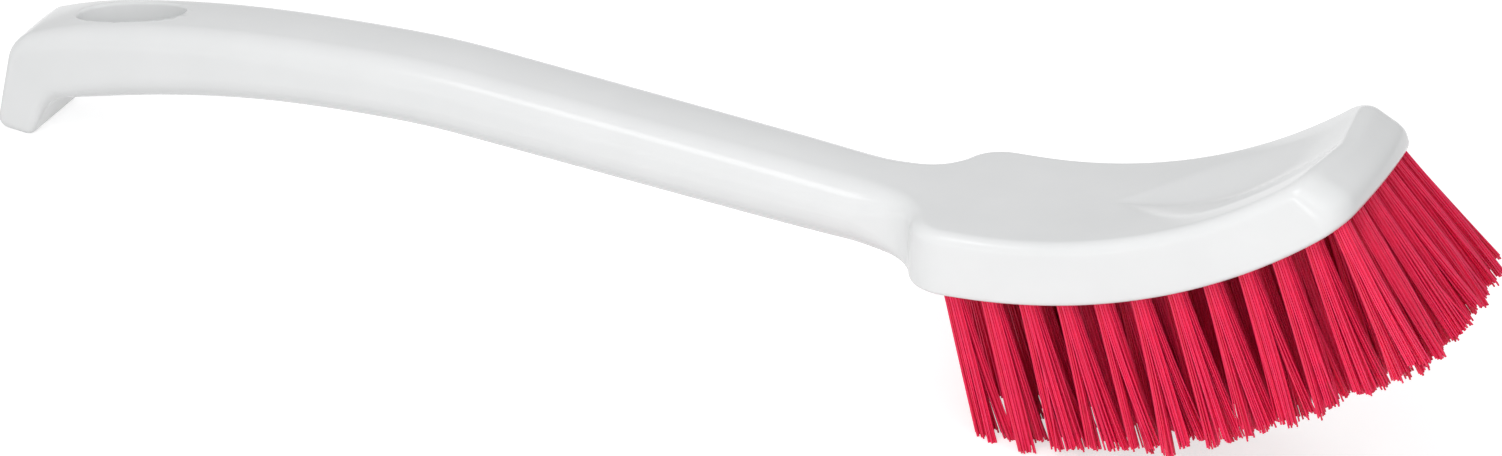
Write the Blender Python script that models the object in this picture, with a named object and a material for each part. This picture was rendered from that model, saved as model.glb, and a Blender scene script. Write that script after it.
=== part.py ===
"""Long-handled cleaning brush in Blender 4.5: one moulded body, with tufts set in drilled holes.

Units are metres, +Z is up and +X runs from the hook to the head. The brush stands as it rests on
a table, on the land of its lip and on the tips of its rear tufts, and y = 0 is its plane of
symmetry. The body is lofted along a spine, a chain of tangent arcs that starts at the hook.
"""

import math

import bmesh
import bpy

# Spine: (length, turn) of each tangent arc, from the hook to the front of the head.
SPINE_START_X = -0.14866
SPINE_START_Z = 0.01385
SPINE_START_HEADING = math.radians(28)
HOOK_ARC = (0.0160, math.radians(-10.6))
HANDLE_ARC = (0.0420, math.radians(-9.1))
HANDLE_FLAT_ARC = (0.0220, math.radians(-2.6))
HANDLE_BEND = (0.0164, math.radians(-5.2))
HANDLE_STRAIGHT = (0.0778, 0)
NECK_ARC = (0.0362, math.radians(7.5))
HEAD_ARC = (0.0787, math.radians(38.6))
HANDLE_ARCS = (HANDLE_ARC, HANDLE_FLAT_ARC, HANDLE_BEND, HANDLE_STRAIGHT)
SPINE = (HOOK_ARC, *HANDLE_ARCS, NECK_ARC, HEAD_ARC)

# Handle section.
HANDLE_WIDTH = 0.0210
HANDLE_THICKNESS = 0.0142
HANDLE_HOOK_THICKNESS = 0.0161
HANDLE_SWELL_LENGTH = 0.0700
HANDLE_CROWN = 0.0003
HANDLE_TOP_RADIUS_HOOK = 0.0045
HANDLE_TOP_RADIUS_NECK = 0.0065
HANDLE_UNDER_RADIUS_HOOK = 0.0045
HANDLE_UNDER_RADIUS_NECK = 0.0065

# Lip at the hook end, in side view.
END_OVERHANG = 0.0024
END_FACE_HEADING = math.radians(86.4)
END_CORNER_RADIUS = 0.0065
LIP_FOOT_LENGTH = 0.0081
LIP_OUTER_RADIUS = 0.0022
LIP_INNER_RADIUS = 0.0015
LIP_INNER_HEADING = math.radians(72)
LIP_FILLET = 0.0050
UNDERSIDE_HEADING = math.radians(16.5)
LIP_EDGE_RADIUS = 0.0012
LIP_FOOT_EDGE_RADIUS = 0.0009

# Shoulder and head, in plan and in section.
SHOULDER_START = 0.1932
SHOULDER_FLANK = math.radians(64)
SHOULDER_INNER_RADIUS = 0.0055
SHOULDER_OUTER_RADIUS = 0.0095
HEAD_WIDTH = 0.0440
HEAD_THICKNESS = 0.0133
HEAD_TIP_THICKNESS = 0.0120
HEAD_TOP_RADIUS = 0.0025
HEAD_UNDER_RADIUS = 0.0010
FRONT_CORNER_RADIUS = 0.0058
FRONT_BULGE = 0.0025
NOSE_HEIGHT = 0.0034
NOSE_RUN = 0.0017
NOSE_SETBACK = 0.0033
NOSE_REACH = 0.0120
THINNING_START = 0.1580
THINNING_LENGTH = 0.0420
EDGE_CHANGE_START = 0.1795
EDGE_CHANGE_LENGTH = 0.0190
TIP_THINNING_START = 0.2070

# Hang hole: a rounded oval through the handle, drafted both ways from its middle.
HANG_HOLE_PLACE = 0.0200
HANG_HOLE_LENGTH = 0.0240
HANG_HOLE_WIDTH = 0.0098
HANG_HOLE_ROUNDNESS = 2.3
HANG_HOLE_DRAFT = math.radians(2)
HANG_HOLE_OVERRUN = 0.0030

# Scoop: a shallow recess on the head's top, pointed at the rear and open at the front rim.
SCOOP_START = 0.2350
SCOOP_HALF_WIDTH = 0.0128
SCOOP_WIDENING_LENGTH = 0.0260
SCOOP_DEPTH = 0.0020
SCOOP_RIM_DEPTH = 0.0010
SCOOP_OVERRUN = 0.0040
SCOOP_CLEARANCE = 0.0030
SCOOP_DEEPEST_SHARE = 0.5
SCOOP_MARGIN_SHARE = 1.15

# Tufts: holes, rows and lean. Rows are drilled parallel; the front arc fans out.
SHOULDER_TO_TUFTS = 0.0123
TUFT_START = SHOULDER_START + SHOULDER_TO_TUFTS
TUFT_PITCH = 0.00745
TUFT_COUNT = 11
OUTER_ROW_INSET = 0.0045
OUTER_ROW_Y = HEAD_WIDTH / 2 - OUTER_ROW_INSET
MID_ROW_Y = OUTER_ROW_Y / 2
MID_ROW_LAG = 0.0039
MID_ROW_PITCH = 0.0090
MID_ROW_COUNT = 9
CENTRE_ROW_LEAD = 0.0043
CENTRE_ROW_SPREAD = 0.0028
FRONT_INSET = 0.0034
FRONT_COUNT = 7
FRONT_LEAN_SIDES = math.radians(42)
FRONT_LEAN_MIDDLE = math.radians(45)
FRONT_SIDE_LEAN = math.radians(14)
TUFT_LEAN_REAR = math.radians(22.7)
TUFT_LEAN_FRONT = math.radians(29.3)
HOLE_DIAMETER = 0.0042
HOLE_DEPTH = 0.0075
HOLE_SIDES = 9
HOLE_MOUTH_OVERRUN = 0.0020
TUFT_CLEARANCE = 0.0003
ANCHOR_LENGTH = 0.0052
ANCHOR_WIDTH = 0.0005
ANCHOR_HEIGHT = 0.0018

# Strands: seven three-sided strands fan out of each tuft's root, so a lattice of triangles.
LATTICE_ROWS = (3, 4, 3, 2)
TUFT_LENGTH = 0.0322
TUFT_LENGTH_FRONT = 0.0317
TUFT_SHORTENING_START = 0.2620
TUFT_FLARE = 1.75

# Loft resolution.
ARC_STATIONS = {
    HOOK_ARC: 3,
    HANDLE_ARC: 5,
    HANDLE_FLAT_ARC: 2,
    HANDLE_BEND: 3,
    HANDLE_STRAIGHT: 7,
    HEAD_ARC: 16,
}
LIP_CORNER_STEPS = 3
LIP_FACE_STEPS = 3
PLAN_CORNER_STEPS = 5
UNDER_CORNER_STEPS = 2
WALL_SHARES = (0.32,)
TOP_CORNER_STEPS = 4
STRIP_STEPS = 4
HANG_HOLE_POINTS = 32
SCOOP_STEPS = 12
SCOOP_SECTION_STEPS = 8
MERGE_DISTANCE = 0.000001
SHARP_ANGLE = math.radians(35)

PLASTIC_COLOUR = (0.86, 0.87, 0.88, 1.0)
PLASTIC_ROUGHNESS = 0.28
BRISTLE_COLOUR = (0.72, 0.012, 0.06, 1.0)
BRISTLE_ROUGHNESS = 0.4


def clear_scene():
    """Remove every object of the open scene."""
    for thing in list(bpy.data.objects):
        bpy.data.objects.remove(thing, do_unlink=True)


def spine_length():
    """Whole length of the spine."""
    return sum(length for length, turn in SPINE)


def spine_frame(place):
    """(x, z, heading) of the spine at this distance from its start."""
    x, z, heading = SPINE_START_X, SPINE_START_Z, SPINE_START_HEADING
    left = place
    for number, (length, turn) in enumerate(SPINE):
        is_last = number == len(SPINE) - 1
        run = left if is_last else min(left, length)
        swing = turn * run / length
        if swing:
            radius = run / swing
            x += radius * (math.sin(heading + swing) - math.sin(heading))
            z += radius * (math.cos(heading) - math.cos(heading + swing))
        else:
            x += run * math.cos(heading)
            z += run * math.sin(heading)
        heading += swing
        left -= run
        if left <= 0:
            break
    return x, z, heading


def on_spine(place, y, height):
    """World point at this place along the spine, y across it and height above it."""
    x, z, heading = spine_frame(place)
    return (x - height * math.sin(heading), y, z + height * math.cos(heading))


def eased(value):
    """Smooth step from 0 to 1."""
    share = min(max(value, 0), 1)
    return share * share * (3 - 2 * share)


def between(first, last, share):
    """Value or point that lies this share of the way from first to last."""
    if isinstance(first, tuple):
        return tuple(a + (b - a) * share for a, b in zip(first, last))
    return first + (last - first) * share


def head_share(place):
    """0 on the handle, 1 on the head, smooth across the shoulder."""
    return eased((place - THINNING_START) / THINNING_LENGTH)


def half_thickness(place):
    """Half the body's thickness at this place along the spine."""
    tip_run = spine_length() - TIP_THINNING_START
    tip_share = min(max((place - TIP_THINNING_START) / tip_run, 0), 1)
    head = between(HEAD_THICKNESS, HEAD_TIP_THICKNESS, tip_share)
    swell = 1 - eased(place / HANDLE_SWELL_LENGTH)
    handle = between(HANDLE_THICKNESS, HANDLE_HOOK_THICKNESS, swell)
    return between(handle, head, head_share(place)) / 2


def edge_radius(place, hook, neck, head):
    """Edge radius at this place along the spine, from its values at hook, neck and head."""
    handle = between(hook, neck, min(max(place / EDGE_CHANGE_START, 0), 1))
    return between(handle, head, eased((place - EDGE_CHANGE_START) / EDGE_CHANGE_LENGTH))


def top_radius(place):
    """Radius of the top edges at this place along the spine."""
    return edge_radius(place, HANDLE_TOP_RADIUS_HOOK, HANDLE_TOP_RADIUS_NECK, HEAD_TOP_RADIUS)


def under_radius(place):
    """Radius of the bottom edges at this place along the spine."""
    return edge_radius(place, HANDLE_UNDER_RADIUS_HOOK, HANDLE_UNDER_RADIUS_NECK, HEAD_UNDER_RADIUS)


def crown(place):
    """Rise of the top surface's middle at this place along the spine."""
    return HANDLE_CROWN * (1 - head_share(place))


def unit(vector):
    """The vector at length 1."""
    size = math.sqrt(sum(value * value for value in vector))
    return tuple(value / size for value in vector)


def filleted_corner(before, corner, after, radius, steps):
    """Points of the arc that rounds this corner of a flat path, ends included."""
    back = unit((before[0] - corner[0], before[1] - corner[1]))
    on = unit((after[0] - corner[0], after[1] - corner[1]))
    half_angle = math.acos(back[0] * on[0] + back[1] * on[1]) / 2
    reach = radius / math.tan(half_angle)
    middle = unit((back[0] + on[0], back[1] + on[1]))
    centre_reach = radius / math.sin(half_angle)
    centre = (corner[0] + middle[0] * centre_reach, corner[1] + middle[1] * centre_reach)
    start = (corner[0] + back[0] * reach - centre[0], corner[1] + back[1] * reach - centre[1])
    side = 1 if start[1] * back[0] - start[0] * back[1] > 0 else -1
    sweep = side * (math.pi - 2 * half_angle)
    points = []
    for step in range(steps + 1):
        angle = sweep * step / steps
        points.append((
            centre[0] + start[0] * math.cos(angle) - start[1] * math.sin(angle),
            centre[1] + start[0] * math.sin(angle) + start[1] * math.cos(angle),
        ))
    return points


def crossing(first, first_heading, second, second_heading):
    """Where two flat lines, each a point and a heading, meet."""
    first_run = (math.cos(first_heading), math.sin(first_heading))
    second_run = (math.cos(second_heading), math.sin(second_heading))
    across = first_run[0] * second_run[1] - first_run[1] * second_run[0]
    gap = (second[0] - first[0], second[1] - first[1])
    run = (gap[0] * second_run[1] - gap[1] * second_run[0]) / across
    return (first[0] + first_run[0] * run, first[1] + first_run[1] * run)


def legs(start, end, steps):
    """Points inside a straight leg, both ends left out."""
    return [between(start, end, step / steps) for step in range(1, steps)]


def lip_paths():
    """Outer and inner side-view paths of the lip, foot first, with matching points."""
    top = on_spine(0, 0, half_thickness(0))
    start_top = (top[0], top[2])
    back = (math.cos(SPINE_START_HEADING), math.sin(SPINE_START_HEADING))
    corner = (start_top[0] - back[0] * END_OVERHANG, start_top[1] - back[1] * END_OVERHANG)
    foot_outer = (corner[0] - corner[1] / math.tan(END_FACE_HEADING), 0)
    foot_inner = (foot_outer[0] + LIP_FOOT_LENGTH, 0)
    under = on_spine(HOOK_ARC[0], 0, -half_thickness(HOOK_ARC[0]))
    sweep_under = (under[0], under[2])
    inner_corner = crossing(foot_inner, LIP_INNER_HEADING, sweep_under, UNDERSIDE_HEADING)

    foot_middle = between(foot_outer, foot_inner, 0.5)
    steps = LIP_CORNER_STEPS
    outer_foot = filleted_corner(foot_middle, foot_outer, corner, LIP_OUTER_RADIUS, steps)
    outer_top = filleted_corner(foot_outer, corner, start_top, END_CORNER_RADIUS, steps)
    inner_foot = filleted_corner(foot_middle, foot_inner, inner_corner, LIP_INNER_RADIUS, steps)
    inner_top = filleted_corner(foot_inner, inner_corner, sweep_under, LIP_FILLET, steps)
    outer = outer_foot + legs(outer_foot[-1], outer_top[0], LIP_FACE_STEPS) + outer_top
    inner = inner_foot + legs(inner_foot[-1], inner_top[0], LIP_FACE_STEPS) + inner_top
    steps = ARC_STATIONS[HOOK_ARC]
    for step in range(1, steps):
        place = HOOK_ARC[0] * step / steps
        top = on_spine(place, 0, half_thickness(place))
        outer.append((top[0], top[2]))
    inner += legs(inner_top[-1], sweep_under, steps)
    return outer, inner


def section(half_width, outward, half_height, top_edge, under_edge, rise):
    """One ring's points as (run, y, height): near side up, top across, far side down, bottom.

    outward is the plan outline's outward normal as (run, y), so round edges stay true at the
    shoulder and round the front of the head, where the outline turns.
    """
    side = []
    for step in range(UNDER_CORNER_STEPS + 1):
        angle = math.pi / 2 * step / UNDER_CORNER_STEPS
        inset = under_edge * (1 - math.sin(angle))
        side.append((inset, under_edge * (1 - math.cos(angle)) - half_height))
    wall_top = half_height - top_edge
    side += [(0, between(side[-1][1], wall_top, share)) for share in WALL_SHARES]
    for step in range(TOP_CORNER_STEPS + 1):
        angle = math.pi / 2 * step / TOP_CORNER_STEPS
        inset = top_edge * (1 - math.cos(angle))
        side.append((inset, half_height - top_edge * (1 - math.sin(angle))))
    near = []
    for inset, height in side:
        y = max(half_width - outward[1] * inset, 0)
        near.append((-outward[0] * inset, -y, height))
    far = [(run, -y, height) for run, y, height in near]
    top = []
    bottom = []
    for step in range(1, STRIP_STEPS):
        across = 2 * step / STRIP_STEPS - 1
        run, y, height = far[-1]
        top.append((run, y * across, height + rise * (1 - across * across)))
        run, y, height = far[0]
        bottom.append((run, -y * across, height))
    return near + top + far[::-1] + bottom


def lip_rings():
    """Rings that fan from the foot of the lip up and round into the handle."""
    outer, inner = lip_paths()
    rings = []
    for number, (high, low) in enumerate(zip(outer, inner)):
        centre = between(high, low, 0.5)
        half_height = math.dist(high, low) / 2
        rise = ((high[0] - low[0]) / half_height / 2, (high[1] - low[1]) / half_height / 2)
        foot_share = min(number / LIP_CORNER_STEPS, 1)
        dip = LIP_FOOT_EDGE_RADIUS * (1 - math.sin(math.pi / 2 * foot_share))
        grown = eased((number - LIP_CORNER_STEPS) / (len(outer) - LIP_CORNER_STEPS))
        top_edge = between(LIP_EDGE_RADIUS, HANDLE_TOP_RADIUS_HOOK, grown)
        under_edge = between(LIP_EDGE_RADIUS, HANDLE_UNDER_RADIUS_HOOK, grown)
        half_width = HANDLE_WIDTH / 2 - dip
        points = section(half_width, (0, 1), half_height, top_edge, under_edge, grown * HANDLE_CROWN)
        rings.append([
            (centre[0] + rise[0] * height, y, centre[1] + rise[1] * height)
            for run, y, height in points
        ])
    return rings


def plan_outline():
    """(place, half width) pairs of the body in plan, from the end of the hook to the front."""
    handle = HANDLE_WIDTH / 2
    head = HEAD_WIDTH / 2
    length = spine_length()
    flank = (head - handle) / math.tan(SHOULDER_FLANK)
    start = (HOOK_ARC[0], handle)
    inner_corner = (SHOULDER_START, handle)
    outer_corner = (SHOULDER_START + flank, head)
    front_corner = (length, head)
    front_middle = (length, 0)
    steps = PLAN_CORNER_STEPS
    inner_arc = filleted_corner(start, inner_corner, outer_corner, SHOULDER_INNER_RADIUS, steps)
    outer_arc = filleted_corner(inner_corner, outer_corner, front_corner, SHOULDER_OUTER_RADIUS, steps)
    front_arc = filleted_corner(outer_corner, front_corner, front_middle, FRONT_CORNER_RADIUS, steps)

    outline = []
    begin = HOOK_ARC[0]
    for arc in HANDLE_ARCS:
        count = ARC_STATIONS[arc]
        outline += [(begin + arc[0] * step / count, handle) for step in range(count)]
        begin += arc[0]
    outline = [point for point in outline if point[0] < inner_arc[0][0]]
    outline += inner_arc
    outline += outer_arc
    outline += legs(outer_arc[-1], front_arc[0], ARC_STATIONS[HEAD_ARC])
    outline += front_arc
    outline += legs(front_arc[-1], front_middle, STRIP_STEPS)
    outline.append(front_middle)
    return [(place + front_shift(place, width), width) for place, width in outline]


def front_shift(place, half_width):
    """How far the front's bulge carries a point of the plan outline forward."""
    near_front = eased((place - spine_length() + FRONT_CORNER_RADIUS) / FRONT_CORNER_RADIUS)
    share = half_width / (HEAD_WIDTH / 2)
    return near_front * FRONT_BULGE * (1 - share * share)


def nose_shift(place, height):
    """How far the front wall's rounded nose carries a point forward, by its height."""
    above = height + half_thickness(place)
    if above < NOSE_HEIGHT:
        shift = NOSE_RUN * above / NOSE_HEIGHT
    else:
        share = (above - NOSE_HEIGHT) / (2 * half_thickness(place) - NOSE_HEIGHT)
        shift = NOSE_RUN - NOSE_SETBACK * share
    return shift * eased((place - spine_length() + NOSE_REACH) / NOSE_REACH)


def outward_normals(outline):
    """Outward normal (run, y) of the plan outline at each of its points."""
    normals = []
    for number, point in enumerate(outline):
        before = outline[max(number - 1, 0)]
        after = outline[min(number + 1, len(outline) - 1)]
        normals.append(unit((before[1] - after[1], after[0] - before[0])))
    normals[-1] = (1, 0)
    return normals


def sweep_rings():
    """Rings of the handle, shoulder and head, square to the spine."""
    outline = plan_outline()
    rings = []
    for (place, half_width), outward in zip(outline, outward_normals(outline)):
        points = section(
            half_width,
            outward,
            half_thickness(place),
            top_radius(place),
            under_radius(place),
            crown(place),
        )
        rings.append([
            on_spine(place + run + nose_shift(place + run, height), y, height)
            for run, y, height in points
        ])
    return rings


def skin(mesh, rings, closed_ends):
    """Skin consecutive rings of points, leave out faces that shrink to nothing, cap the ends."""
    made = {}

    def vertex(point):
        key = tuple(round(value / MERGE_DISTANCE) for value in point)
        if key not in made:
            made[key] = mesh.verts.new(point)
        return made[key]

    loops = [[vertex(point) for point in ring] for ring in rings]
    for loop, following in zip(loops, loops[1:]):
        for index, corner in enumerate(loop):
            step = (index + 1) % len(loop)
            face = [corner, loop[step], following[step], following[index]]
            face = [v for number, v in enumerate(face) if v is not face[number - 1]]
            if len(set(face)) > 2:
                mesh.faces.new(face)
    for loop in closed_ends:
        mesh.faces.new(loops[loop])
    bmesh.ops.recalc_face_normals(mesh, faces=mesh.faces)


def add_object(name, mesh_maker, material, *values):
    """Object of this name with the mesh that mesh_maker builds."""
    mesh = bmesh.new()
    mesh_maker(mesh, *values)
    data = bpy.data.meshes.new(name)
    mesh.to_mesh(data)
    mesh.free()
    thing = bpy.data.objects.new(name, data)
    bpy.context.scene.collection.objects.link(thing)
    if material:
        data.materials.append(material)
    return thing


def add_helper(name, mesh_maker, *values):
    """Object that only cuts or joins, so it isn't rendered."""
    thing = add_object(name, mesh_maker, None, *values)
    thing.hide_render = True
    thing.display_type = "WIRE"
    return thing


def body_blank(mesh):
    """The moulding before its holes and scoop are cut."""
    skin(mesh, lip_rings() + sweep_rings(), [0])


def hang_hole_ring(height, growth):
    """Ring of the hang hole at this height from the spine, grown by the draft."""
    power = 2 / HANG_HOLE_ROUNDNESS
    half_length = HANG_HOLE_LENGTH / 2 + growth
    half_width = HANG_HOLE_WIDTH / 2 + growth
    x, z, heading = spine_frame(HANG_HOLE_PLACE)
    ring = []
    for step in range(HANG_HOLE_POINTS):
        angle = 2 * math.pi * step / HANG_HOLE_POINTS
        cosine, sine = math.cos(angle), math.sin(angle)
        run = half_length * math.copysign(abs(cosine) ** power, cosine)
        y = half_width * math.copysign(abs(sine) ** power, sine)
        ring.append((
            x + run * math.cos(heading) - height * math.sin(heading),
            y,
            z + run * math.sin(heading) + height * math.cos(heading),
        ))
    return ring


def hang_hole(mesh):
    """Cutter of the hang hole, narrowest at its middle."""
    reach = HANDLE_THICKNESS / 2 + HANG_HOLE_OVERRUN
    growth = reach * math.tan(HANG_HOLE_DRAFT)
    rings = [hang_hole_ring(-reach, growth), hang_hole_ring(0, 0), hang_hole_ring(reach, growth)]
    skin(mesh, rings, [0, -1])


def scoop_depth(share):
    """Depth of the scoop's middle at this share of its length."""
    if share < SCOOP_DEEPEST_SHARE:
        return SCOOP_DEPTH * math.sin(math.pi / 2 * share / SCOOP_DEEPEST_SHARE)
    shallower = (share - SCOOP_DEEPEST_SHARE) / (1 - SCOOP_DEEPEST_SHARE)
    return between(SCOOP_DEPTH, SCOOP_RIM_DEPTH, shallower)


def scoop(mesh):
    """Cutter of the scoop, a loft of parabolic sections that starts in a point."""
    length = spine_length() + FRONT_BULGE - SCOOP_START
    rings = []
    for step in range(1, SCOOP_STEPS + 1):
        place = between(SCOOP_START, SCOOP_START + length + SCOOP_OVERRUN, step / SCOOP_STEPS)
        widened = min((place - SCOOP_START) / SCOOP_WIDENING_LENGTH, 1)
        half_width = SCOOP_HALF_WIDTH * math.sin(math.pi / 2 * widened)
        depth = scoop_depth(min((place - SCOOP_START) / length, 1))
        surface = half_thickness(place)
        ring = []
        for count in range(SCOOP_SECTION_STEPS + 1):
            across = SCOOP_MARGIN_SHARE * (2 * count / SCOOP_SECTION_STEPS - 1)
            height = surface - depth * (1 - across * across)
            ring.append(on_spine(place, half_width * across, height))
        edge = half_width * SCOOP_MARGIN_SHARE
        ring.append(on_spine(place, edge, surface + SCOOP_CLEARANCE))
        ring.append(on_spine(place, -edge, surface + SCOOP_CLEARANCE))
        rings.append(ring)
    point = on_spine(SCOOP_START, 0, half_thickness(SCOOP_START) + MERGE_DISTANCE)
    rings.insert(0, [point] * len(rings[0]))
    skin(mesh, rings, [-1])


def row_lean(place):
    """Forward lean of a tuft in the rows, which grows from the rear to the front."""
    share = (place - TUFT_START) / (TUFT_PITCH * TUFT_COUNT)
    return between(TUFT_LEAN_REAR, TUFT_LEAN_FRONT, share)


def tuft_places():
    """(name, place along the spine, y, lean forward, lean sideways) of every tuft."""
    rows = (
        ("near", -OUTER_ROW_Y, TUFT_START, TUFT_PITCH, TUFT_COUNT, 0),
        ("mid_near", -MID_ROW_Y, TUFT_START + MID_ROW_LAG, MID_ROW_PITCH, MID_ROW_COUNT, 0),
        ("centre", 0, TUFT_START - CENTRE_ROW_LEAD, TUFT_PITCH, TUFT_COUNT, CENTRE_ROW_SPREAD),
        ("mid_far", MID_ROW_Y, TUFT_START + MID_ROW_LAG, MID_ROW_PITCH, MID_ROW_COUNT, 0),
        ("far", OUTER_ROW_Y, TUFT_START, TUFT_PITCH, TUFT_COUNT, 0),
    )
    places = []
    for name, y, start, pitch, count, spread in rows:
        for number in range(count):
            place = start + number * pitch + spread * (number / (count - 1)) ** 3
            places.append((f"tuft_{name}_{number + 1:02d}", place, y, row_lean(place), 0))
    for number in range(FRONT_COUNT):
        across = 2 * number / (FRONT_COUNT - 1) - 1
        y = OUTER_ROW_Y * across
        bulge = FRONT_BULGE * (1 - (y / (HEAD_WIDTH / 2)) ** 2)
        place = spine_length() + bulge - FRONT_INSET
        lean = between(FRONT_LEAN_MIDDLE, FRONT_LEAN_SIDES, across * across)
        places.append((f"tuft_front_{number + 1:02d}", place, y, lean, FRONT_SIDE_LEAN * across))
    return places


def tuft_frame(place, y, lean, side_lean):
    """Root on the underside, outward axis and the two directions across the axis.

    The far side's tufts mirror the near side's.
    """
    root = on_spine(place, y, -half_thickness(place))
    axis = unit((math.sin(lean), math.tan(side_lean), -math.cos(lean)))
    side = -1 if y > 0 else 1
    across = unit((-axis[1] * axis[0], 1 - axis[1] * axis[1], -axis[1] * axis[2]))
    across = tuple(side * value for value in across)
    along = (
        across[1] * axis[2] - across[2] * axis[1],
        across[2] * axis[0] - across[0] * axis[2],
        across[0] * axis[1] - across[1] * axis[0],
    )
    return root, axis, across, along


def placed(frame, along_run, across_run, out):
    """World point in a tuft's frame."""
    root, axis, across, along = frame
    return tuple(
        root[i] + along[i] * along_run + across[i] * across_run + axis[i] * out
        for i in range(3)
    )


def tuft_hole(mesh, frame):
    """One blind hole's cutter, which runs out past the underside."""
    rings = []
    for out in (-HOLE_DEPTH, HOLE_MOUTH_OVERRUN):
        ring = []
        for step in range(HOLE_SIDES):
            angle = 2 * math.pi * step / HOLE_SIDES
            radius = HOLE_DIAMETER / 2
            ring.append(placed(frame, radius * math.cos(angle), radius * math.sin(angle), out))
        rings.append(ring)
    skin(mesh, rings, [0, -1])


def box(mesh, frame, length, width, low, high):
    """Box across a tuft's axis, between two distances along it."""
    rings = []
    for out in (low, high):
        corners = ((-1, -1), (1, -1), (1, 1), (-1, 1))
        rings.append([
            placed(frame, width / 2 * a, length / 2 * b, out) for a, b in corners
        ])
    skin(mesh, rings, [0, -1])


def tuft_holes(mesh):
    """All the blind holes as one cutter."""
    for name, *place in tuft_places():
        tuft_hole(mesh, tuft_frame(*place))


def anchor_notches(mesh):
    """The notches that the anchors' ears bite into the holes' walls, as one cutter."""
    for name, *place in tuft_places():
        length = ANCHOR_LENGTH + 2 * TUFT_CLEARANCE
        width = ANCHOR_WIDTH + 2 * TUFT_CLEARANCE
        low = TUFT_CLEARANCE - HOLE_DEPTH
        high = low + ANCHOR_HEIGHT + 2 * TUFT_CLEARANCE
        box(mesh, tuft_frame(*place), length, width, low, high)


def anchor(mesh, frame):
    """The flat bar that holds one tuft in its hole, above the fold of the filaments."""
    low = 2 * TUFT_CLEARANCE - HOLE_DEPTH
    box(mesh, frame, ANCHOR_LENGTH, ANCHOR_WIDTH, low, low + ANCHOR_HEIGHT)


def lattice_points(size):
    """Rows of points of a triangular lattice about its own centre, with this spacing."""
    height = size * math.sqrt(3) / 2
    total = sum(LATTICE_ROWS)
    middle = sum(row * count for row, count in enumerate(LATTICE_ROWS)) / total
    return [
        [((number - (count - 1) / 2) * size, (row - middle) * height) for number in range(count)]
        for row, count in enumerate(LATTICE_ROWS)
    ]


def lattice_triangles():
    """(strand triangles, gap triangles) of the lattice, each corner as (row, number)."""
    strands = []
    gaps = []
    for row in range(len(LATTICE_ROWS) - 1):
        count, above = LATTICE_ROWS[row], LATTICE_ROWS[row + 1]
        grows = above > count
        for number in range(min(count, above)):
            if grows:
                gaps.append(((row, number), (row + 1, number + 1), (row + 1, number)))
                continue
            strands.append(((row, number), (row, number + 1), (row + 1, number)))
        for number in range(max(count, above) - 2):
            if grows:
                strands.append(((row, number), (row, number + 1), (row + 1, number + 1)))
                continue
            gaps.append(((row, number + 1), (row + 1, number + 1), (row + 1, number)))
    return strands, gaps


def lattice_rim():
    """Corners round the lattice's outside, in order."""
    last = len(LATTICE_ROWS) - 1
    right = [(row, LATTICE_ROWS[row] - 1) for row in range(1, last)]
    left = [(row, 0) for row in range(1, last)][::-1]
    bottom = [(0, number) for number in range(LATTICE_ROWS[0])]
    top = [(last, number) for number in range(LATTICE_ROWS[last])][::-1]
    return bottom + right + top + left


def tuft_length(place):
    """Free length of a tuft that is rooted at this place along the spine."""
    run = spine_length() - TUFT_SHORTENING_START
    share = max((place - TUFT_SHORTENING_START) / run, 0)
    return between(TUFT_LENGTH, TUFT_LENGTH_FRONT, share)


def strand_tip(frame, corner, centre, normal, length):
    """Tip of one strand edge, on the trim surface and not below the table."""
    root, axis, across, along = frame
    start = placed(frame, corner[0], corner[1], 0)
    shift = TUFT_FLARE - 1
    end = placed(frame, corner[0] + centre[0] * shift, corner[1] + centre[1] * shift, length)
    middle = placed(frame, 0, 0, length)
    run = tuple(end[i] - start[i] for i in range(3))
    to_trim = sum((middle[i] - start[i]) * normal[i] for i in range(3))
    share = to_trim / sum(run[i] * normal[i] for i in range(3))
    table_share = -start[2] / run[2]
    share = min(share, table_share) if run[2] < 0 else share
    return between(start, tuple(start[i] + run[i] for i in range(3)), share)


def tuft(mesh, place, frame):
    """One tuft: its root in the hole, and its strands."""
    spacing = (HOLE_DIAMETER / 2 - TUFT_CLEARANCE) / math.dist((0, 0), rim_corner())
    points = lattice_points(spacing)
    strands, gaps = lattice_triangles()
    length = tuft_length(place)
    heading = spine_frame(place)[2]
    normal = (math.sin(heading), 0, -math.cos(heading))
    mouth = {}
    bottom = {}
    for row, line in enumerate(points):
        for number, point in enumerate(line):
            mouth[row, number] = mesh.verts.new(placed(frame, point[0], point[1], 0))
    for corner in lattice_rim():
        point = points[corner[0]][corner[1]]
        bottom[corner] = mesh.verts.new(placed(frame, point[0], point[1], TUFT_CLEARANCE - HOLE_DEPTH))
    rim = lattice_rim()
    for number, corner in enumerate(rim):
        following = rim[(number + 1) % len(rim)]
        mesh.faces.new((bottom[corner], bottom[following], mouth[following], mouth[corner]))
    mesh.faces.new([bottom[corner] for corner in rim])
    for gap in gaps:
        mesh.faces.new([mouth[corner] for corner in gap])
    for strand in strands:
        flat = [points[row][number] for row, number in strand]
        centre = tuple(sum(point[i] for point in flat) / 3 for i in range(2))
        tips = [
            mesh.verts.new(strand_tip(frame, point, centre, normal, length))
            for point in flat
        ]
        roots = [mouth[corner] for corner in strand]
        for number in range(3):
            step = (number + 1) % 3
            mesh.faces.new((roots[number], roots[step], tips[step], tips[number]))
        mesh.faces.new(tips)
    bmesh.ops.recalc_face_normals(mesh, faces=mesh.faces)


def rim_corner():
    """The lattice corner farthest from its centre, at a spacing of 1."""
    corners = [point for line in lattice_points(1) for point in line]
    return max(corners, key=lambda point: math.dist((0, 0), point))


def boolean(thing, helper, operation):
    """Cut or join the helper with the exact solver."""
    modifier = thing.modifiers.new(helper.name, "BOOLEAN")
    modifier.operation = operation
    modifier.solver = "EXACT"
    modifier.object = helper


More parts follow.
